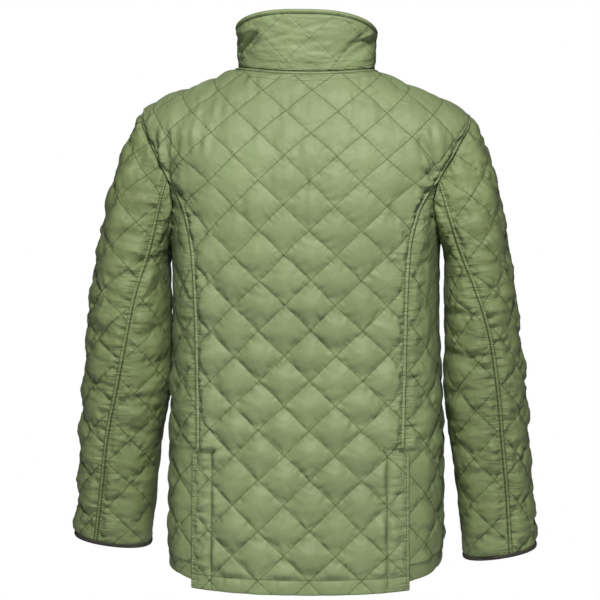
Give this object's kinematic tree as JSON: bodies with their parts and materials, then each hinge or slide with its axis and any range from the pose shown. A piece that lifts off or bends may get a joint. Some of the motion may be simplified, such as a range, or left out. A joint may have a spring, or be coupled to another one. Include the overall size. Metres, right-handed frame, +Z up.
{
  "type": "quilted jacket",
  "caption": "hollow quilted jacket with a stand collar, two-piece set-in sleeves with bound cuffs, a lapped stud front and a back panel with open side vents",
  "frame": {"origin": "centre of the neck opening, level with the points where the collar meets the shoulder seams, where the wearer's neck holds the jacket up", "axes": "+Z up, -Y the front of the jacket, +X the wearer's left"},
  "size_m": [0.7029, 0.2833, 0.8529],
  "materials": {
    "quilted_nylon": "soft satin",
    "cuff_bias": "matt",
    "stud_metal": "satin"
  },
  "bodies": {
    "root": {"back_panel": "quilted_nylon", "front_left": "quilted_nylon", "front_right": "quilted_nylon", "collar": "quilted_nylon", "sleeve_upper_left": "quilted_nylon", "sleeve_under_left": "quilted_nylon", "sleeve_upper_right": "quilted_nylon", "sleeve_under_right": "quilted_nylon", "cuff_binding_left": "cuff_bias", "cuff_binding_right": "cuff_bias", "stud_1": "stud_metal", "stud_2": "stud_metal", "stud_3": "stud_metal", "stud_4": "stud_metal", "stud_5": "stud_metal", "stud_6": "stud_metal"}
  },
  "joints": []
}
